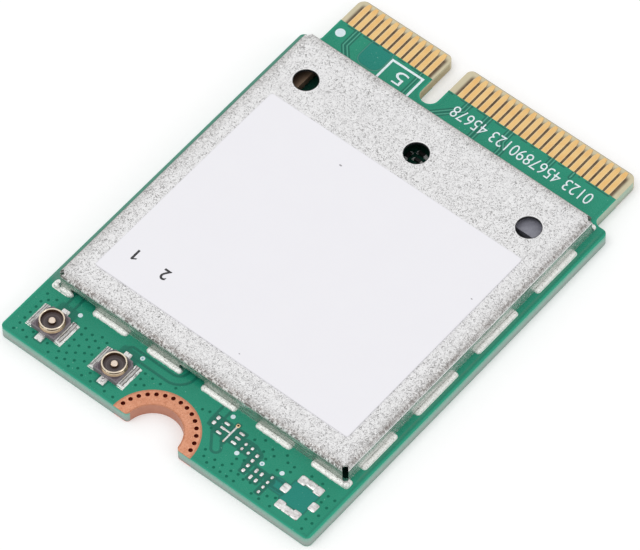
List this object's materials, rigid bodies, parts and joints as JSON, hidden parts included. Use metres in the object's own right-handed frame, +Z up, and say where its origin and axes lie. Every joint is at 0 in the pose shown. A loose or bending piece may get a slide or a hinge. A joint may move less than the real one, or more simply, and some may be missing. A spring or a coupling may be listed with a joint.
{
  "type": "plug-in wifi card",
  "caption": "Short wifi card for a laptop's keyed card socket: green board with a gold contact tongue, soldered shield can, white label, coax antenna jacks and half-round screw notch.",
  "frame": {"origin": "centre of the board's outline, on its underside", "axes": "+Z up out of the component side, +Y towards the contact tip, +X across the card"},
  "size_m": [0.022, 0.03, 0.0021],
  "materials": {
    "laminate": "woven glass and resin board, cut edge",
    "varnish": "green board varnish, smooth, with darker lines over bare laminate",
    "gold": "gold plated copper",
    "copper": "bare copper, satin",
    "tinned_sheet": "matt tin plated sheet with fine dark specks",
    "solder": "bright solder and tinned copper",
    "label_film": "smooth white label",
    "jack_moulding": "dark grey moulding",
    "jack_metal": "thin gold plating on a pressed ring",
    "print_ink": "white board ink",
    "chip_moulding": "black chip moulding",
    "grey_chip": "grey chip moulding",
    "crystal_lid": "plated lid",
    "filter_ceramic": "pale ceramic",
    "coil_ferrite": "dark ferrite",
    "capacitor_ceramic": "brown ceramic",
    "resistor_film": "black glazed film"
  },
  "bodies": {
    "root": {"board_core": "laminate", "varnish_top": "varnish", "varnish_bottom": "varnish", "contacts_top": "gold", "contacts_bottom": "gold", "screw_land": "copper", "shield_can": "tinned_sheet", "shield_solder": "solder", "label": "label_film", "jack_1_base": "jack_moulding", "jack_1_ring": "jack_metal", "jack_1_pin": "gold", "jack_1_solder": "solder", "jack_2_base": "jack_moulding", "jack_2_ring": "jack_metal", "jack_2_pin": "gold", "jack_2_solder": "solder", "jack_pads": "solder", "spare_jack_pads": "solder", "spare_part_pads": "solder", "test_pads": "solder", "board_print": "print_ink", "radio_chip": "chip_moulding", "memory_chip": "grey_chip", "crystal": "crystal_lid", "front_end_chip_1": "chip_moulding", "front_end_chip_2": "chip_moulding", "antenna_filter_1": "filter_ceramic", "antenna_filter_2": "filter_ceramic", "power_coil": "coil_ferrite", "capacitors": "capacitor_ceramic", "resistors": "resistor_film", "part_solder": "solder"}
  },
  "joints": []
}
